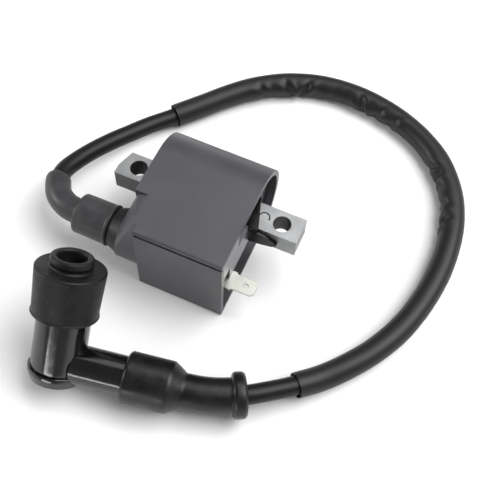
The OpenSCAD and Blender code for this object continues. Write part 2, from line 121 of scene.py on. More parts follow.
# how much lower than the lead's middle the sleeve's middle lies
SLEEVE_DROP = 0.4

# Roundings of the CAD pieces' edges
CORE_EDGE = 0.22
RESIN_EDGE = 0.35
PLATE_EDGE = 0.1
TAB_EDGE = 0.08


def tube_point(along, across):
    """A place in the cap tube's frame, in millimetres."""
    return TUBE_FRAME @ Vector((along, across, 0))


def bend_point(angle):
    """The middle of the cap boot's bent neck, angle round its bend."""
    return tube_point(
        NECK_START + NECK_BEND_R * math.sin(angle), NECK_BEND_R * (1 - math.cos(angle))
    )


BEND_ANGLES = [math.radians(a) for a in (0, 6, 12, 18)]
BEND_END = (
    NECK_START + NECK_BEND_R * math.sin(NECK_BEND),
    NECK_BEND_R * (1 - math.cos(NECK_BEND)),
)
COLLAR_OUT = tube_point(
    BEND_END[0] + (COLLAR_LEN + 1) * math.cos(NECK_BEND),
    BEND_END[1] + (COLLAR_LEN + 1) * math.sin(NECK_BEND),
)


# ---- lines that the soft pieces follow ----


def smooth_points(points, per_span):
    """Points on a curve through all the given ones, evenly spread over each span."""
    ends = [points[0] * 2 - points[1], *points, points[-1] * 2 - points[-2]]
    out = []
    for a, b, c, d in zip(ends, ends[1:], ends[2:], ends[3:]):
        for i in range(per_span):
            t = i / per_span
            out.append(
                0.5 * (2 * b + (c - a) * t + (2 * a - 5 * b + 4 * c - d) * t**2
                       + (3 * b - a - 3 * c + d) * t**3)
            )
    out.append(points[-1])
    return out


class Line:
    """A smooth line in millimetres that gives its place and frame at any distance along it."""

    # a direction is taken over this far either side of its place
    reach = 0.6

    def __init__(self, points, smoothing=2):
        fine = smooth_points([Vector(p) for p in points], 12)
        for _ in range(smoothing):
            fine = (
                [fine[0]]
                + [(a + b * 2 + c) / 4 for a, b, c in zip(fine, fine[1:], fine[2:])]
                + [fine[-1]]
            )
        self.points = fine
        self.marks = [0.0]
        for a, b in zip(fine, fine[1:]):
            self.marks.append(self.marks[-1] + (b - a).length)
        self.length = self.marks[-1]

    def place(self, s):
        """The point at distance s; past an end it goes straight on."""
        marks, points = self.marks, self.points
        if s <= 0:
            return points[0] + (points[0] - points[1]).normalized() * -s
        if s >= self.length:
            return points[-1] + (points[-1] - points[-2]).normalized() * (s - self.length)
        low, high = 0, len(marks) - 1
        while high - low > 1:
            middle = (low + high) // 2
            if marks[middle] <= s:
                low = middle
            else:
                high = middle
        return points[low].lerp(points[high], (s - marks[low]) / (marks[high] - marks[low]))

    def frame(self, s):
        """Place, direction to the left and upward direction at distance s."""
        ahead = (self.place(s + self.reach) - self.place(s - self.reach)).normalized()
        left = Vector((0, 0, 1)).cross(ahead).normalized()
        return self.place(s), left, ahead.cross(left)


# ---- mesh tools ----


def settle(bm, outward=True):
    """Merges doubles, and turns faces outward where the shape was spun or wrapped."""
    bmesh.ops.remove_doubles(bm, verts=bm.verts, dist=1e-6)
    bmesh.ops.dissolve_degenerate(bm, edges=bm.edges, dist=1e-7)
    if outward:
        bmesh.ops.recalc_face_normals(bm, faces=bm.faces)


def finish_piece(name, bm, material, body, nodes=(), crisp=32, flat_faces=False):
    """Makes the object, shades it smooth up to the crisp angle, hangs it on its body's empty and hides
    the CAD nodes it stands in for.

    With flat_faces the large faces keep their own normals and only their rounded edges blend.
    The material may be a list, for a piece whose faces pick from several.
    """
    mesh = bpy.data.meshes.new(name)
    bm.to_mesh(mesh)
    bm.free()
    mesh.polygons.foreach_set("use_smooth", [True] * len(mesh.polygons))
    mesh.set_sharp_from_angle(angle=math.radians(crisp))
    piece = bpy.data.objects.new(name, mesh)
    bpy.context.scene.collection.objects.link(piece)
    for one in material if isinstance(material, list) else [material]:
        mesh.materials.append(one)
    if flat_faces:
        blend = piece.modifiers.new("flat faces", "WEIGHTED_NORMAL")
        blend.keep_sharp = True
        blend.weight = 100
    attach(piece, body)
    if nodes:
        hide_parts(*nodes)
    return piece


def merged_copy(node):
    """A bmesh of a CAD node with its loose triangles merged into whole flat faces."""
    bm = bmesh.new()
    bm.from_mesh(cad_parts[node].data)
    bmesh.ops.remove_doubles(bm, verts=bm.verts, dist=3e-6)
    bmesh.ops.dissolve_limit(
        bm, angle_limit=math.radians(0.6), verts=bm.verts, edges=bm.edges,
        use_dissolve_boundaries=False,
    )
    return bm


def round_edges(bm, width_mm, sharper_than=35, segments=3, where=None):
    """Rounds every edge that is sharper than an angle, and that where() accepts."""
    limit = math.radians(sharper_than)
    edges = [
        e for e in bm.edges
        if len(e.link_faces) == 2
        and e.calc_face_angle(0) > limit
        and (where is None or where((e.verts[0].co + e.verts[1].co) / 2 / MM))
    ]
    bmesh.ops.bevel(
        bm, geom=edges, offset=width_mm * MM, offset_type="OFFSET", segments=segments,
        profile=0.5, affect="EDGES", clamp_overlap=True, material=-1,
    )


def turned(profile, steps, place):
    """Spins a closed or axis-to-axis (radius, height) profile in millimetres about Z."""
    bm = bmesh.new()
    verts = [bm.verts.new((r * MM, 0, z * MM)) for r, z in profile]
    edges = [bm.edges.new(pair) for pair in zip(verts, verts[1:])]
    if profile[0][0] > 0 and profile[-1][0] > 0:
        edges.append(bm.edges.new((verts[-1], verts[0])))
    bmesh.ops.spin(
        bm, geom=verts + edges, cent=(0, 0, 0), axis=(0, 0, 1), dvec=(0, 0, 0),
        angle=2 * math.pi, steps=steps, use_merge=True, use_normal_flip=False,
        use_duplicate=False,
    )
    settle(bm)
    bmesh.ops.transform(bm, matrix=metres(place), verts=bm.verts)
    return bm


def metres(place):
    """The same placement with its shift in metres."""
    out = place.copy()
    out.translation = place.translation * MM
    return out


def rounded(profile, radius, steps=4, closed=True):
    """A (radius, height) profile with each corner replaced by an arc-like curve."""
    points = [Vector(p) for p in profile]
    count = len(points)
    out = []
    for i, corner in enumerate(points):
        if not closed and i in (0, count - 1):
            out.append(tuple(corner))
            continue
        before, after = points[i - 1], points[(i + 1) % count]
        cut = min(radius, (before - corner).length * 0.45, (after - corner).length * 0.45)
        start = corner + (before - corner).normalized() * cut
        end = corner + (after - corner).normalized() * cut
        for k in range(steps + 1):
            t = k / steps
            out.append(tuple(start.lerp(corner, t).lerp(corner.lerp(end, t), t)))
    return out


def spread(profile, gap):
    """A profile with points added so that no span is longer than gap."""
    out = [profile[0]]
    for a, b in zip(profile, profile[1:]):
        length = math.dist(a, b)
        parts = max(1, math.ceil(length / gap))
        out += [
            (a[0] + (b[0] - a[0]) * k / parts, a[1] + (b[1] - a[1]) * k / parts)
            for k in range(1, parts + 1)
        ]
    return out


def wrapped(line, profile, sides, change=None):
    """A tube along a line from a (distance, radius) profile; change(s, angle) adds to the radius.

    A flat grid is rolled round the line, so its UV map is in millimetres: across, then along.
    """
    bm = bmesh.new()
    rows = len(profile) - 1
    bmesh.ops.create_grid(bm, x_segments=sides, y_segments=rows, size=1, calc_uvs=True)
    frames = [line.frame(s) for s, _ in profile]
    for vert in bm.verts:
        row = round((vert.co.y + 1) / 2 * rows)
        angle = (vert.co.x + 1) * math.pi
        s, radius = profile[row]
        place, left, up = frames[row]
        if change:
            radius += change(s, angle)
        vert.co = (place + (left * math.cos(angle) + up * math.sin(angle)) * radius) * MM
    uv_map = bm.loops.layers.uv.verify()
    around = 2 * math.pi * max(r for _, r in profile)
    travel = [0.0]
    for a, b in zip(profile, profile[1:]):
        travel.append(travel[-1] + math.dist(a, b))
    for face in bm.faces:
        for loop in face.loops:
            u, v = loop[uv_map].uv
            loop[uv_map].uv = (u * around * MM, travel[round(v * rows)] * MM)
    settle(bm)
    return bm


def joined(first, second, operation):
    """Boolean of two bmeshes, both used up."""
    holders = []
    for label, bm in (("first", first), ("second", second)):
        mesh = bpy.data.meshes.new(label)
        bm.to_mesh(mesh)
        bm.free()
        holder = bpy.data.objects.new(label, mesh)
        bpy.context.scene.collection.objects.link(holder)
        holders.append(holder)
    cut = holders[0].modifiers.new("cut", "BOOLEAN")
    cut.object = holders[1]
    cut.operation = operation
    cut.solver = "EXACT"
    graph = bpy.context.evaluated_depsgraph_get()
    out = bmesh.new()
    out.from_mesh(holders[0].evaluated_get(graph).to_mesh())
    for holder in holders:
        mesh = holder.data
        bpy.data.objects.remove(holder)
        bpy.data.meshes.remove(mesh)
    return out


# ---- material tools ----


def linear(code):
    """Linear RGBA of an sRGB hex colour."""
    parts = [int(code[i : i + 2], 16) / 255 for i in (1, 3, 5)]
    return (*[c / 12.92 if c <= 0.04045 else ((c + 0.055) / 1.055) ** 2.4 for c in parts], 1.0)


def add(tree, kind, values=None, links=None, **settings):
    """Adds a node: settings are its properties, values its sockets' numbers, links what feeds them."""
    made = tree.nodes.new(kind)
    for key, value in settings.items():
        setattr(made, key, value)
    for key, value in (values or {}).items():
        made.inputs[key].default_value = value
    for key, source in (links or {}).items():
        tree.links.new(source, made.inputs[key])
    return made


def new_material(name, coordinates="Object", **values):
    """A material with a Principled shader; gives it, its tree, its shader and the coordinates."""
    material = bpy.data.materials.new(name)
    material.use_nodes = True
    tree = material.node_tree
    tree.nodes.clear()
    shader = add(tree, "ShaderNodeBsdfPrincipled")
    for key, value in values.items():
        shader.inputs[key.replace("_", " ").title().replace("Ior", "IOR")].default_value = value
    add(tree, "ShaderNodeOutputMaterial", links={"Surface": shader.outputs["BSDF"]})
    where = add(tree, "ShaderNodeTexCoord").outputs[coordinates]
    return material, tree, shader, where


def grain(tree, where, size_mm, detail=2.0, stretch=(1, 1, 1)):
    """Noise whose marks are about size_mm across, longer where stretch is below 1."""
    scaled = add(tree, "ShaderNodeMapping", {"Scale": stretch}, {"Vector": where})
    return add(
        tree, "ShaderNodeTexNoise", {"Scale": 1 / (size_mm * MM), "Detail": detail},
        {"Vector": scaled.outputs["Vector"]},
    ).outputs["Fac"]


def two_tones(tree, shader, factor, low, high, start=0.35, end=0.65):
    """Drives the base colour from one colour to another."""
    ramp = add(tree, "ShaderNodeValToRGB", links={"Fac": factor})
    ramp.color_ramp.elements[0].position = start
    ramp.color_ramp.elements[1].position = end
    ramp.color_ramp.elements[0].color = linear(low)
    ramp.color_ramp.elements[1].color = linear(high)
    tree.links.new(ramp.outputs["Color"], shader.inputs["Base Color"])
    return ramp


def uneven_gloss(tree, shader, factor, low, high):
    """Drives the roughness between two values."""
    spread_out = add(
        tree, "ShaderNodeMapRange",
        {"From Min": 0.3, "From Max": 0.7, "To Min": low, "To Max": high}, {"Value": factor},
    )
    tree.links.new(spread_out.outputs["Result"], shader.inputs["Roughness"])


def relief(tree, shader, *layers):
    """Bump from (height, depth in mm) layers, laid one on another."""
    below = None
    for height, depth in layers:
        links = {"Height": height}
        if below:
            links["Normal"] = below.outputs["Normal"]
        below = add(tree, "ShaderNodeBump", {"Strength": 1.0, "Distance": depth * MM}, links)
    tree.links.new(below.outputs["Normal"], shader.inputs["Normal"])


# ---- materials ----


def glass_filled_nylon(name, low, high, rough, depth_mm=0.02):
    """Glass-filled nylon from a spark-eroded mould: an even satin skin with a fine dry grain."""
    material, tree, shader, where = new_material(name, ior=1.53)
    patches = grain(tree, where, 14, 3)
    # the real grain is about 0.08 mm; it is drawn at 0.3 mm so that it shows
    fine = grain(tree, where, 0.3, 2)
    two_tones(tree, shader, patches, low, high)
    uneven_gloss(tree, shader, patches, rough - 0.05, rough + 0.06)
    relief(tree, shader, (fine, depth_mm), (grain(tree, where, 9, 1), depth_mm * 2))
    return material


def punched_steel(name, low, high):
    """Silicon steel sheet with a thin zinc-grey coat: pale satin with short rolling marks."""
    material, tree, shader, where = new_material(name, metallic=1.0)
    rolling = grain(tree, where, 0.5, 3, (0.08, 1, 1))
    patches = grain(tree, where, 6, 3)
    two_tones(tree, shader, patches, low, high)
    uneven_gloss(tree, shader, rolling, 0.4, 0.56)
    relief(tree, shader, (rolling, 0.02))
    return material


def natural_nylon(name, low, high):
    """Unfilled moulded bobbin plastic: a slightly waxy off-white."""
    material, tree, shader, where = new_material(name, ior=1.53)
    patches = grain(tree, where, 5, 2)
    two_tones(tree, shader, patches, low, high)
    uneven_gloss(tree, shader, patches, 0.38, 0.5)
    relief(tree, shader, (grain(tree, where, 0.4), 0.01))
    return material


# a wave texture of scale 1 has a band every 0.31 units
WAVE_BAND = 0.31


def enamelled_wire(name, low, high, wire_mm):
    """Enamelled copper wound in turns: bands of gloss across the winding, with a painted highlight on
    each turn and painted shade between turns.
    """
    material, tree, shader, where = new_material(name, metallic=1.0)
    turns = add(
        tree, "ShaderNodeTexWave", {"Scale": WAVE_BAND / (wire_mm * MM), "Distortion": 0.4},
        {"Vector": where}, bands_direction="X",
    ).outputs["Fac"]
    # base colour lighter on each turn's crown and darker between turns: painted highlight and painted
    # shade
    two_tones(tree, shader, turns, low, high)
    uneven_gloss(tree, shader, turns, 0.25, 0.45)
    relief(tree, shader, (turns, 0.1))
    return material


def poured_resin(name, low, high):
    """Poured epoxy: near-black, glossy, with a slow sag from shrinking as it cured."""
    material, tree, shader, where = new_material(name, ior=1.36)
    sag = grain(tree, where, 6, 1)
    two_tones(tree, shader, sag, low, high)
    uneven_gloss(tree, shader, grain(tree, where, 2.5, 3), 0.24, 0.4)
    relief(tree, shader, (sag, 0.06))
    return material


def tinned_strip(name, low, high):
    """Tin-plated brass strip: bright, soft-edged reflections and faint handling marks."""
    material, tree, shader, where = new_material(name, metallic=1.0)
    marks = grain(tree, where, 0.6, 4, (0.25, 1, 1))
    two_tones(tree, shader, marks, low, high)
    uneven_gloss(tree, shader, marks, 0.3, 0.42)
    relief(tree, shader, (marks, 0.002))
    return material


def drawn_metal(name, low, high, rough):
    """Turned or drawn metal: fine lines and a clean shine."""
    material, tree, shader, where = new_material(name, metallic=1.0)
    lines = grain(tree, where, 0.4, 3, (1, 1, 0.2))
    two_tones(tree, shader, lines, low, high)
    uneven_gloss(tree, shader, lines, rough, rough + 0.12)
    relief(tree, shader, (lines, 0.008))
    return material


# the colour sockets of a Mix node, whose other sockets have the same names
MIX_A = 6
MIX_B = 7
MIX_RESULT = 2

# distance between the specks of dust on rubber
SPECK_GAP = 1.6


def moulded_rubber(name, low, high, speck, rough, ior=1.42):
    """Moulded EPDM rubber: matt, with a pale bloom in patches and specks of mould dust."""
    material, tree, shader, where = new_material(name, ior=ior)
    bloom = grain(tree, where, 5, 4)
    base = two_tones(tree, shader, bloom, low, high, 0.38, 0.72)
    dots = add(
        tree, "ShaderNodeTexVoronoi", {"Scale": 1 / (SPECK_GAP * MM)}, {"Vector": where}
    ).outputs["Distance"]
    near = add(
        tree, "ShaderNodeMapRange",
        {"From Min": 0.045, "From Max": 0.075, "To Min": 0.65, "To Max": 0.0}, {"Value": dots},
    )
    dusty = add(
        tree, "ShaderNodeMix", {MIX_B: linear(speck)},
        {"Factor": near.outputs["Result"], MIX_A: base.outputs["Color"]}, data_type="RGBA",
    )
    tree.links.new(dusty.outputs[MIX_RESULT], shader.inputs["Base Color"])
    uneven_gloss(tree, shader, bloom, rough - 0.06, rough + 0.1)
    relief(tree, shader, (grain(tree, where, 0.35, 3), 0.02), (grain(tree, where, 4, 2), 0.12))
    return material


def extruded_jacket(name, low, high):
    """Extruded EPDM lead jacket: a dark waxy skin with streaks of gloss along its length."""
    material, tree, shader, where = new_material(name, "UV", ior=1.36)
    streaks = grain(tree, where, 0.9, 4, (1, 0.06, 1))
    smears = grain(tree, where, 3, 4, (1, 0.3, 1))
    two_tones(tree, shader, smears, low, high)
    uneven_gloss(tree, shader, streaks, 0.3, 0.56)
    relief(tree, shader, (streaks, 0.05), (smears, 0.12))
    return material


def vinyl_sleeving(name, low, high):
    """Soft vinyl tube: dull, with slow ripples where it has been bent and rolled."""
    material, tree, shader, where = new_material(name, "UV", ior=1.42)
    ripples = grain(tree, where, 4, 3, (1, 0.5, 1))
    two_tones(tree, shader, ripples, low, high)
    uneven_gloss(tree, shader, grain(tree, where, 2, 3, (1, 0.3, 1)), 0.36, 0.54)
    relief(tree, shader, (ripples, 0.25), (grain(tree, where, 0.4, 2), 0.015))
    return material


def polished_phenolic(name, low, high):
    """Pressed phenolic: deep black with a hard wet shine, slightly wavy from the mould."""
    material, tree, shader, where = new_material(name, ior=1.6)
    waves = grain(tree, where, 5, 2)
    two_tones(tree, shader, waves, low, high)
    uneven_gloss(tree, shader, grain(tree, where, 1.5, 3), 0.1, 0.2)
    relief(tree, shader, (waves, 0.025), (grain(tree, where, 0.5), 0.002))
    return material


def fired_ceramic(name, low, high):
    """Fired resistor body: chalky cream."""
    material, tree, shader, where = new_material(name, ior=1.55)
    marks = grain(tree, where, 1, 3)
    two_tones(tree, shader, marks, low, high)
    uneven_gloss(tree, shader, marks, 0.5, 0.7)
    relief(tree, shader, (marks, 0.02))
    return material


def studio_paper(name, low, high):
    """Matt white paper."""
    material, tree, shader, where = new_material(name, roughness=0.9, specular_ior_level=0.1)
    two_tones(tree, shader, grain(tree, where, 60, 2), low, high)
    return material


# ---- sizes and colours that a user may change ----


def colour(label, code, description):
    """A colour property from an sRGB hex value."""
    return bpy.props.StringProperty(name=label, default=code, description=description)


class CoilSizes(bpy.types.PropertyGroup):
    """Sizes of the details that the finished pieces add to the CAD shapes."""

    lead_diameter: bpy.props.FloatProperty(
        name="Lead diameter", description="Outside diameter of the high-tension lead",
        default=0.007, min=0.004, max=0.009, precision=4, subtype="DISTANCE", unit="LENGTH",
    )
    sleeve_diameter: bpy.props.FloatProperty(
        name="Sleeve diameter", description="Outside diameter of the loose vinyl sleeve",
        default=0.0093, min=0.008, max=0.012, precision=4, subtype="DISTANCE", unit="LENGTH",
    )
    case_edge: bpy.props.FloatProperty(
        name="Case edge radius", description="Rounding of the moulded case's edges",
        default=0.0006, min=0.0001, max=0.001, precision=5, subtype="DISTANCE", unit="LENGTH",
    )
    sheet_thickness: bpy.props.FloatProperty(
        name="Core sheet", description="Thickness of one sheet of the core, coarsened to show",
        default=0.00075, min=0.0004, max=0.0015, precision=5, subtype="DISTANCE", unit="LENGTH",
    )
    crease_depth: bpy.props.FloatProperty(
        name="Crease depth", description="Depth of the creases in the sleeve",
        default=0.001, min=0.0, max=0.0012, precision=5, subtype="DISTANCE", unit="LENGTH",
    )


class CoilColours(bpy.types.PropertyGroup):
    """Main colours of the finishes, as sRGB hex values."""

    case: colour("Case", "#404045", "Main colour of the moulded case")
    rubber: colour("Rubber", "#111113", "Main colour of the boots and the seal")
    lead: colour("Lead", "#0a0a0b", "Main colour of the lead's jacket")
    sleeve: colour("Sleeve", "#151517", "Main colour of the vinyl sleeve")
    cap: colour("Cap", "#0c0c0d", "Main colour of the plug cap")
    steel: colour("Core steel", "#9a9b9c", "Main colour of the laminated core")


def shade(code, amount):
    """A hex colour made lighter, or darker where amount is negative."""
    parts = [int(code[i : i + 2], 16) for i in (1, 3, 5)]
    return "#" + "".join(f"{max(0, min(255, p + amount)):02x}" for p in parts)


def sizes():
    """The size properties of the scene."""
    return bpy.context.scene.coil_sizes


def colours():
    """The colour properties of the scene."""
    return bpy.context.scene.coil_colours


def tones(code, gap):
    """A darker and a lighter hex colour either side of one."""
    return shade(code, -gap), shade(code, gap)


# ---- studio ----

CAMERA_TARGET = Vector((0.01177, 0.00592, 0.0))
CAMERA_DISTANCE = 0.3351
CAMERA_AZIMUTH = math.radians(20.72)
CAMERA_ELEVATION = math.radians(61.12)
CAMERA_ROLL = math.radians(3.44)
CAMERA_LENS = 64.31


class CoilPiece:
    """What every operator here shares."""

    bl_options = {"REGISTER", "UNDO"}


class COIL_OT_stage(CoilPiece, bpy.types.Operator):
    """Makes the camera, the paper floor and the soft lights"""

    bl_idname = "coil.stage"
    bl_label = "Studio"

    def execute(self, context):
        scene = context.scene
        scene.view_settings.view_transform = "Standard"
        lens = bpy.data.cameras.new("camera")
        lens.lens = CAMERA_LENS
        lens.sensor_width = 36
        lens.clip_start = 0.01
        camera = bpy.data.objects.new("camera", lens)
        scene.collection.objects.link(camera)
        turn = (
            Matrix.Rotation(CAMERA_AZIMUTH, 4, "Z")
            @ Matrix.Rotation(math.pi / 2 - CAMERA_ELEVATION, 4, "X")
            @ Matrix.Rotation(CAMERA_ROLL, 4, "Z")
        )
        back = turn @ Vector((0, 0, 1))
        camera.matrix_world = Matrix.Translation(CAMERA_TARGET + back * CAMERA_DISTANCE) @ turn
        scene.camera = camera

        bm = bmesh.new()
        bmesh.ops.create_grid(bm, x_segments=4, y_segments=4, size=3)
        mesh = bpy.data.meshes.new("floor")
        bm.to_mesh(mesh)
        bm.free()
        floor = bpy.data.objects.new("floor", mesh)
        scene.collection.objects.link(floor)
        mesh.materials.append(studio_paper("studio paper", "#f4f4f4", "#f7f7f7"))

        for label, place, width, height, power in (
            ("soft box high right", (0.62, 0.35, 1.08), 1.1, 1.1, 22.0),
            ("card above", (-0.2, 0.54, 1.05), 0.6, 0.6, 1.5),
            ("strip left", (-0.9, -0.25, 0.4), 0.5, 0.3, 4.5),
            ("strip in front", (-0.1, -1.0, 0.06), 0.5, 0.12, 1.6),
        ):
            lamp = bpy.data.lights.new(label, "AREA")
            lamp.shape = "RECTANGLE"
            lamp.size = width
            lamp.size_y = height
            lamp.energy = power
            holder = bpy.data.objects.new(label, lamp)
            scene.collection.objects.link(holder)
            way = Vector(place)
            holder.location = way
            holder.rotation_euler = way.to_track_quat("Z", "Y").to_euler()

        world = bpy.data.worlds.new("studio")
        world.use_nodes = True
        tree = world.node_tree
        tree.nodes.clear()
        height = add(
            tree, "ShaderNodeSeparateXYZ",
            links={"Vector": add(tree, "ShaderNodeTexCoord").outputs["Generated"]},
        )
        sky = add(tree, "ShaderNodeValToRGB", links={"Fac": height.outputs["Z"]})
        sky.color_ramp.elements[0].position = 0.0
        sky.color_ramp.elements[0].color = (1.0, 1.0, 1.0, 1)
        sky.color_ramp.elements[1].position = 0.9
        sky.color_ramp.elements[1].color = (0.45, 0.45, 0.455, 1)
        glow = add(
            tree, "ShaderNodeBackground", {"Strength": 0.42}, {"Color": sky.outputs["Color"]}
        )
        add(tree, "ShaderNodeOutputWorld", links={"Surface": glow.outputs["Background"]})
        scene.world = world
        return {"FINISHED"}


# ---- coil pieces ----


class COIL_OT_case(CoilPiece, bpy.types.Operator):
    """Rounds the edges of the moulded case"""

    bl_idname = "coil.case"
    bl_label = "Case"

    def execute(self, context):
        bm = merged_copy("coil_case")
        round_edges(bm, sizes().case_edge / MM, 33, 3)
        nylon = glass_filled_nylon("glass filled nylon", *tones(colours().case, 3), 0.42)
        # the inner side of the wall between the resin and the rim is painted near-black: painted shade
        # of the open end's recess
        inner_wall_shade = poured_resin("painted shade on the inner wall", "#0a0a0b", "#101011")
        # faces deeper in than this belong to the inner side of the wall
        wall = 1.2
        rim = 0.2
        low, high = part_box("coil_case")
        radius = (high.z - low.z) / 2 / MM
        round_y = high.y / MM - radius
        for face in bm.faces:
            place = face.calc_center_median() / MM
            from_axis = math.dist((max(place.y, round_y), place.z), (round_y, radius))
            inside = from_axis < radius - wall and place.y > low.y / MM + wall
            # inner faces out from the resin get the near-black painted shade
            if inside and RESIN_X < place.x < high.x / MM - rim:
                face.material_index = 1
        finish_piece(
            "case", bm, [nylon, inner_wall_shade], "coil", ["coil_case"], flat_faces=True
        )
        return {"FINISHED"}


class COIL_OT_core(CoilPiece, bpy.types.Operator):
    """Makes the laminated bar with a groove between each two sheets"""

    bl_idname = "coil.core"
    bl_label = "Core bar"

    def execute(self, context):
        bm = merged_copy("core_bar")
        low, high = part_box("core_bar")
        top = high.z / MM

        def near(place, xs, reach):
            """Whether a place is within reach of the bar's middle line at one of the xs."""
            return any(math.dist(place[:2], (x, CORE_Y)) < reach for x in xs)

        round_edges(bm, CORE_EDGE, 50, 2, lambda place: not near(place, PUNCH_MARKS, MARK_REACH))
        count = round((high.z - low.z) / sizes().sheet_thickness)
        half_groove = 0.06 * MM
        groove_depth = 0.1 * MM
        for i in range(1, count):
            level = low.z + (high.z - low.z) * i / count
            for shift in (-half_groove, half_groove, 0):
                bmesh.ops.bisect_plane(
                    bm, geom=bm.verts[:] + bm.edges[:] + bm.faces[:],
                    plane_co=(0, 0, level + shift), plane_no=(0, 0, 1), dist=1e-7,
                )
            bm.normal_update()
            for vert in [v for v in bm.verts if abs(v.co.z - level) < 1e-7]:
                vert.co -= Vector((vert.normal.x, vert.normal.y, 0)) * groove_depth
        bm.normal_update()
        for face in bm.faces:
            middle = face.calc_center_median() / MM
            # sunk faces are the floors of the punch marks, which get a near-black painted shade
            sunk = top - 0.4 < middle.z < top - 0.1
            # upright faces near the lug holes are their walls, which get a darker steel as painted
            # shade
            upright = abs(face.normal.z) < 0.5
            if sunk and near(middle, PUNCH_MARKS, MARK_REACH):
                face.material_index = 1
            elif upright and near(middle, HOLES, HOLE_R + 0.1):
                face.material_index = 2
        steel = punched_steel("punched silicon steel", *tones(colours().steel, 8))
        # painted shade in the punch marks: their floors are drawn near-black
        punch_mark_shade = poured_resin("painted shade in the punch marks", "#18181a", "#222224")
        # painted shade in the lug holes: their walls are drawn much darker than the core's steel
        hole_wall_shade = punched_steel("painted shade in the holes", "#4c4d4e", "#58595a")
        finish_piece(
            "core", bm, [steel, punch_mark_shade, hole_wall_shade], "coil", ["core_bar"], flat_faces=True
        )
        return {"FINISHED"}


class COIL_OT_open_end(CoilPiece, bpy.types.Operator):
    """Rounds the resin, the terminal plate and the spade tab at the open end"""

    bl_idname = "coil.open_end"
    bl_label = "Open end"

    def execute(self, context):
        resin = merged_copy("potting_resin")
        round_edges(resin, RESIN_EDGE, 40, 2)
        finish_piece(
            "resin", resin, poured_resin("poured epoxy", "#050506", "#09090a"),
            "coil", ["potting_resin"], flat_faces=True,
        )
        plate = merged_copy("terminal_plate")
        round_edges(plate, PLATE_EDGE, 40, 1)
        # the plate's pale grey is painted reflection: it stands for the light the plate picks up at
        # the open end
        finish_piece(
            "plate", plate, glass_filled_nylon("nylon with painted reflection", "#606165", "#66676b", 0.35, 0.003),
            "coil", ["terminal_plate"], flat_faces=True,
        )
        tab = merged_copy("primary_tab")
        round_edges(tab, TAB_EDGE, 40, 1)
        finish_piece(
            "tab", tab, tinned_strip("tinned brass", "#b4b4ad", "#bfbfb8"),
            "coil", ["primary_tab"], flat_faces=True,
        )
        return {"FINISHED"}


class COIL_OT_tower_boot(CoilPiece, bpy.types.Operator):
    """Makes the rubber boot over the tower, with its elbow neck"""

    bl_idname = "coil.tower_boot"
    bl_label = "Tower boot"

    def execute(self, context):
        cup_mouth, cup_back = -29.6, -43.6
        line = Line(
            [
                (cup_mouth, HUB.y, HUB.z), (-34, HUB.y, HUB.z), (-39, HUB.y, HUB.z),
                (cup_back, HUB.y, HUB.z), (-46, -16.8, 17.1), (-50, -16, 16.8),
                (-55, -13, 16.2), (-58.4, -8, 15.2), (-59, -6, 14.8),
            ]
        )
        cup = cup_mouth - cup_back
        tower_r = 5.95
        neck_r = 4.9
        tower_end = cup - 7.8
        section = [
            (0, tower_r), (0, 7.9), (0.6, 8.1), (1.4, 7.75), (cup - 0.5, 7.6), (cup, 7.2),
            (cup + 0.5, 5.2), (cup + 2, neck_r), (line.length - 0.8, neck_r),
            (line.length, 4.7), (line.length, LEAD_BORE_R),
            (tower_end, LEAD_BORE_R), (tower_end, tower_r), (0, tower_r),
        ]
        bm = wrapped(line, spread(rounded(section, 0.5, 3, closed=False), 0.8), 64)
        grey = shade(colours().rubber, 38)
        rubber = moulded_rubber("moulded rubber", *tones(grey, 6), "#77777a", 0.44)
        finish_piece("tower_sheath", bm, rubber, "coil", ["tower_boot"], 50)
        return {"FINISHED"}


class COIL_OT_cap(CoilPiece, bpy.types.Operator):
    """Makes the polished cap: barrel, side tube and stepped base"""

    bl_idname = "coil.cap"
    bl_label = "Plug cap"

    def execute(self, context):
        # short spans keep the sharp line where barrel and tube meet from shading the rest
        gap = 1.5
        along_tube = TUBE_PLACE @ Matrix.Rotation(math.pi / 2, 4, "Y")
        wall = [
            (FOOT_SEAT_R, BARREL_LOW), (BARREL_R, BARREL_LOW), (BARREL_R, BARREL_TOP),
            (PLUG_ROOM_R, BARREL_TOP), (PLUG_ROOM_R, PLUG_ROOM_LOW),
            (LEAD_BORE_R, PLUG_ROOM_LOW), (LEAD_BORE_R, BARREL_FLOOR), (FOOT_SEAT_R, BARREL_FLOOR),
        ]
        barrel = turned(spread(rounded(wall, 0.25, 3), gap), 128, CAP_FRAME)
        side = [
            (LEAD_BORE_R, TUBE_START), (TUBE_R, TUBE_START), (TUBE_R, TUBE_END),
            (LEAD_BORE_R, TUBE_END),
        ]
        tube = turned(spread(rounded(side, 0.3, 3), gap), 128, along_tube)
        body = joined(barrel, tube, "UNION")
        # what the tube's bore and the barrel's bore take out of each other's wall
        for low, high, place in ((2, 12, along_tube), (BARREL_FLOOR, PLUG_ROOM_LOW, CAP_FRAME)):
            bore = [(0, low), (LEAD_BORE_R, low), (LEAD_BORE_R, high), (0, high)]
            body = joined(body, turned(bore, 128, place), "DIFFERENCE")
        gloss = polished_phenolic("pressed phenolic", *tones(colours().cap, 2))
        finish_piece("cap", body, gloss, "cap", ["cap_body"], 12)
        spigot = BARREL_LOW + 1.2
        step = BARREL_LOW - 1.8
        bottom = BARREL_LOW - 4.4
        disc = [
            (0, spigot), (FOOT_SEAT_R, spigot), (FOOT_SEAT_R, BARREL_LOW),
            (FOOT_STEP_R, BARREL_LOW), (FOOT_STEP_R, step), (FOOT_STEP_R - 0.3, step),
            (BARREL_R - 0.1, bottom), (0, bottom),
        ]
        base = turned(rounded(disc, 0.3, 3, closed=False), 128, CAP_FRAME)
        finish_piece("cap_foot", base, gloss, "cap", ["cap_base"])
        return {"FINISHED"}


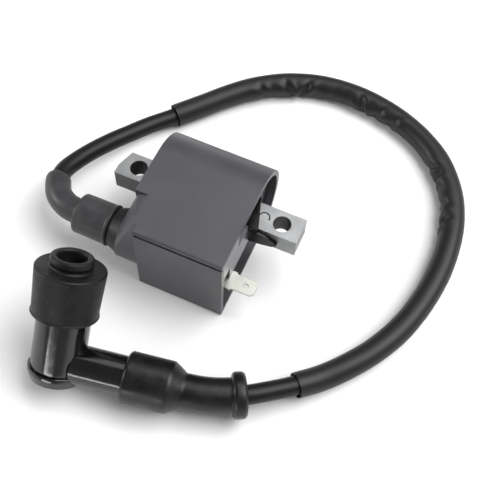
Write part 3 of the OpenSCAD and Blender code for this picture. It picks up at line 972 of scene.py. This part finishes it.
class COIL_OT_seal(CoilPiece, bpy.types.Operator):
    """Makes the rubber seal on the barrel"""

    bl_idname = "coil.seal"
    bl_label = "Plug seal"

    def execute(self, context):
        outside = BARREL_R + 2
        grip_r = BARREL_R + RUBBER_GAP
        rest = BARREL_TOP + RUBBER_GAP
        profile = [
            (grip_r, SEAL_LOW), (outside + 0.4, SEAL_LOW), (outside + 0.4, SEAL_LOW + 0.3),
            (outside + 0.05, SEAL_LOW + 0.8),
            (outside + 0.85, SEAL_TOP - 0.5), (outside + 0.45, SEAL_TOP),
            (SEAL_MOUTH_R + 2.6, SEAL_TOP), (SEAL_MOUTH_R + 2.1, SEAL_TOP + 0.5),
            (SEAL_MOUTH_R + 2.1, SEAL_TOP + 1.4), (SEAL_MOUTH_R + 2.6, SEAL_TOP + 1.9),
            (SEAL_MOUTH_R + 2.3, SEAL_TOP + 3.8), (SEAL_MOUTH_R + 1.8, SEAL_TOP + 4.1),
            (SEAL_MOUTH_R + 0.5, SEAL_TOP + 4.1), (SEAL_MOUTH_R, SEAL_TOP + 3.6),
            (SEAL_MOUTH_R, BARREL_TOP + 1.2), (PLUG_ROOM_R, rest), (grip_r, rest),
        ]
        bm = turned(rounded(profile, 0.3, 3), 128, CAP_FRAME)
        rubber = moulded_rubber("seal rubber", *tones(colours().rubber, 4), "#9a9a9d", 0.46, 1.36)
        finish_piece("seal_ring", bm, rubber, "seal", ["plug_seal"], 50)
        return {"FINISHED"}


class COIL_OT_cap_boot(CoilPiece, bpy.types.Operator):
    """Makes the rubber boot over the cap's tube, with its bent neck and collar"""

    bl_idname = "coil.cap_boot"
    bl_label = "Cap boot"

    def execute(self, context):
        line = Line(
            [tube_point(s, 0) for s in (BOOT_START, 30, 36, 41)]
            + [bend_point(a) for a in BEND_ANGLES]
            + [COLLAR_OUT - (COLLAR_OUT - bend_point(NECK_BEND)).normalized()]
        )
        neck = NECK_START - BOOT_START
        bead = line.length - COLLAR_LEN
        grip_r = TUBE_R + RUBBER_GAP
        body_r = 9.2
        neck_r = 6.3
        bead_r = 8.2
        tube_end = TUBE_END + 0.2 - BOOT_START
        section = [
            (0, grip_r), (0, 8.4), (0.8, body_r), (15.9, body_r), (neck, neck_r), (bead, neck_r),
            (bead, 7.6), (bead + 1, bead_r), (bead + 3.7, bead_r), (line.length, 7.4),
            (line.length, LEAD_BORE_R), (tube_end, LEAD_BORE_R), (tube_end, grip_r), (0, grip_r),
        ]
        bm = wrapped(line, spread(rounded(section, 0.6, 4, closed=False), 0.8), 72)
        rubber = moulded_rubber("boot rubber", *tones(colours().rubber, 5), "#7a7a7d", 0.34)
        finish_piece("cap_sheath", bm, rubber, "coil", ["cap_boot"], 50)
        return {"FINISHED"}


# Creases of the sleeve: distance from its end behind the coil in mm, slant, and share of the depth
CREASES = [
    (40, -0.5, 0.6), (52, -0.6, 1.0), (57.5, 0.7, 1.0), (71, 0.4, 0.3), (86, -0.6, 1.0),
    (93, 0.5, 0.6), (101, 0.5, 0.7), (129, 0.7, 0.7), (136, -0.6, 0.8), (148, 0.6, 0.6),
    (159, -0.7, 1.0),
]
# the side of the sleeve that is inside its bends, and how far round a slanted crease shifts
CREASED_SIDE = math.radians(172)
SLANT_SHIFT = 4


def hump(off, width):
    """A smooth bump of height 1 in the middle that fades over its width."""
    return math.exp(-((off / width) ** 2))


def slow_wave(s, angle, per_mm):
    """Noise round a tube, whose waves along it are about 1 / per_mm long."""
    return noise.noise(Vector((s * per_mm, math.cos(angle), math.sin(angle))))


class COIL_OT_lead(CoilPiece, bpy.types.Operator):
    bl_idname = "coil.lead"
    bl_label = "Lead and sleeve"

    def execute(self, context):
        radius = sizes().lead_diameter / 2 / MM
        line = Line(
            ROUTE + [COLLAR_OUT] + [bend_point(a) for a in reversed(BEND_ANGLES)]
            + [tube_point(32, 0), tube_point(LEAD_END, 0)]
        )
        # a ring about every millimetre; each end closes down to a pinhole on the lead's axis
        count = round(line.length)
        profile = [(0, 0.01), (0, radius)]
        profile += [(line.length * i / count, radius) for i in range(1, count)]
        profile += [(line.length, radius), (line.length, 0.01)]
        bm = wrapped(line, profile, 40, lambda s, angle: 0.05 * slow_wave(s, angle, 0.12))
        jacket = extruded_jacket("extruded jacket", *tones(colours().lead, 3))
        lead = finish_piece("lead", bm, jacket, "coil", ["high_tension_lead"], 60)

        sleeve_r = sizes().sleeve_diameter / 2 / MM
        sleeve_line = Line(
            [
                (x, y, max(sleeve_r, z - SLEEVE_DROP))
                for x, y, z in ROUTE[SLEEVE_FIRST : SLEEVE_LAST + 1]
            ]
        )
        depth = sizes().crease_depth / MM

        def creased(s, angle):
            """Slow waves of a bent soft tube, and short folds on the inside of its bends."""
            change = 0.12 * slow_wave(s, angle, 0.07)
            inward = max(0, math.cos(angle - CREASED_SIDE)) ** 2
            for mark, slant, size in CREASES:
                off = s - mark - slant * SLANT_SHIFT * math.sin(angle)
                swelling = hump(off - 2.4, 1.5) + hump(off + 3.4, 2.4)
                change += size * depth * inward * (0.7 * swelling - hump(off, 1.2))
            return change

        ring_gap = 0.5
        steps = round(sleeve_line.length / ring_gap)
        outer = [(sleeve_line.length * i / steps, sleeve_r) for i in range(steps + 1)]
        inner = [(s, r - SLEEVE_WALL) for s, r in reversed(outer)]
        sleeve_bm = wrapped(sleeve_line, outer + inner + outer[:1], 48, creased)
        vinyl = vinyl_sleeving("vinyl sleeving", *tones(colours().sleeve, 4))
        sleeve = finish_piece("sleeve", sleeve_bm, vinyl, "coil", ["lead_sleeve"], 50)

        return {"FINISHED"}


class COIL_OT_inside(CoilPiece, bpy.types.Operator):
    """Gives the CAD pieces inside the coil and the cap their materials"""

    bl_idname = "coil.inside"
    bl_label = "Inner pieces"

    def execute(self, context):
        bobbin = natural_nylon("bobbin nylon", "#cfc8b4", "#dcd6c4")
        primary = enamelled_wire("primary wire", "#8a3d18", "#c8743e", 0.5)
        # the secondary wire is 0.06 mm; its turns are drawn at 0.3 mm so that they show
        secondary = enamelled_wire("secondary wire", "#6f2c12", "#a8542a", 0.3)
        brass = drawn_metal("turned brass", "#a8843e", "#c9a75f", 0.25)
        steel = drawn_metal("spring steel", "#a9abad", "#c9cbcd", 0.22)
        tin = tinned_strip("tinned copper strip", "#c9c9c3", "#dcdcd6")
        resin = moulded_rubber("tower resin", "#0a0a0b", "#0e0e0f", "#0e0e0f", 0.5)
        ceramic = fired_ceramic("fired ceramic", "#cfc4aa", "#ddd4bd")
        for node, material in (
            ("primary_bobbin", bobbin), ("secondary_bobbin", bobbin),
            ("primary_winding", primary), ("secondary_winding", secondary),
            ("primary_lead_wire", primary), ("high_tension_link", secondary),
            ("ground_strap", tin), ("tower_insert", resin), ("tower_spike", brass),
            ("cap_screw", brass), ("contact_spring", steel), ("suppressor_resistor", ceramic),
            ("plug_socket", brass), ("socket_clip", steel),
        ):
            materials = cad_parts[node].data.materials
            materials.clear()
            materials.append(material)
        return {"FINISHED"}


class COIL_PT_panel(bpy.types.Panel):
    """Lists the pieces, their sizes and their colours"""

    bl_idname = "COIL_PT_panel"
    bl_label = "Ignition coil"
    bl_space_type = "VIEW_3D"
    bl_region_type = "UI"
    bl_category = "Coil"

    def draw(self, context):
        column = self.layout.column(align=True)
        for operator in OPERATORS:
            column.operator(operator.bl_idname)
        for group in (context.scene.coil_sizes, context.scene.coil_colours):
            box = self.layout.box()
            for name in group.__annotations__:
                box.prop(group, name)


OPERATORS = [
    COIL_OT_stage, COIL_OT_inside, COIL_OT_case, COIL_OT_core, COIL_OT_open_end,
    COIL_OT_tower_boot, COIL_OT_cap, COIL_OT_seal, COIL_OT_cap_boot, COIL_OT_lead,
]
CLASSES = [CoilSizes, CoilColours, *OPERATORS, COIL_PT_panel]


def register():
    """Registers the classes and hangs the sizes and colours on the scene."""
    for cls in CLASSES:
        bpy.utils.register_class(cls)
    bpy.types.Scene.coil_sizes = bpy.props.PointerProperty(type=CoilSizes)
    bpy.types.Scene.coil_colours = bpy.props.PointerProperty(type=CoilColours)


def unregister():
    """Takes back what register() did."""
    del bpy.types.Scene.coil_colours
    del bpy.types.Scene.coil_sizes
    for cls in reversed(CLASSES):
        bpy.utils.unregister_class(cls)


def main():
    """Makes every piece in order."""
    register()
    for operator in OPERATORS:
        group, name = operator.bl_idname.split(".")
        getattr(getattr(bpy.ops, group), name)()


if __name__ == "__main__":
    main()
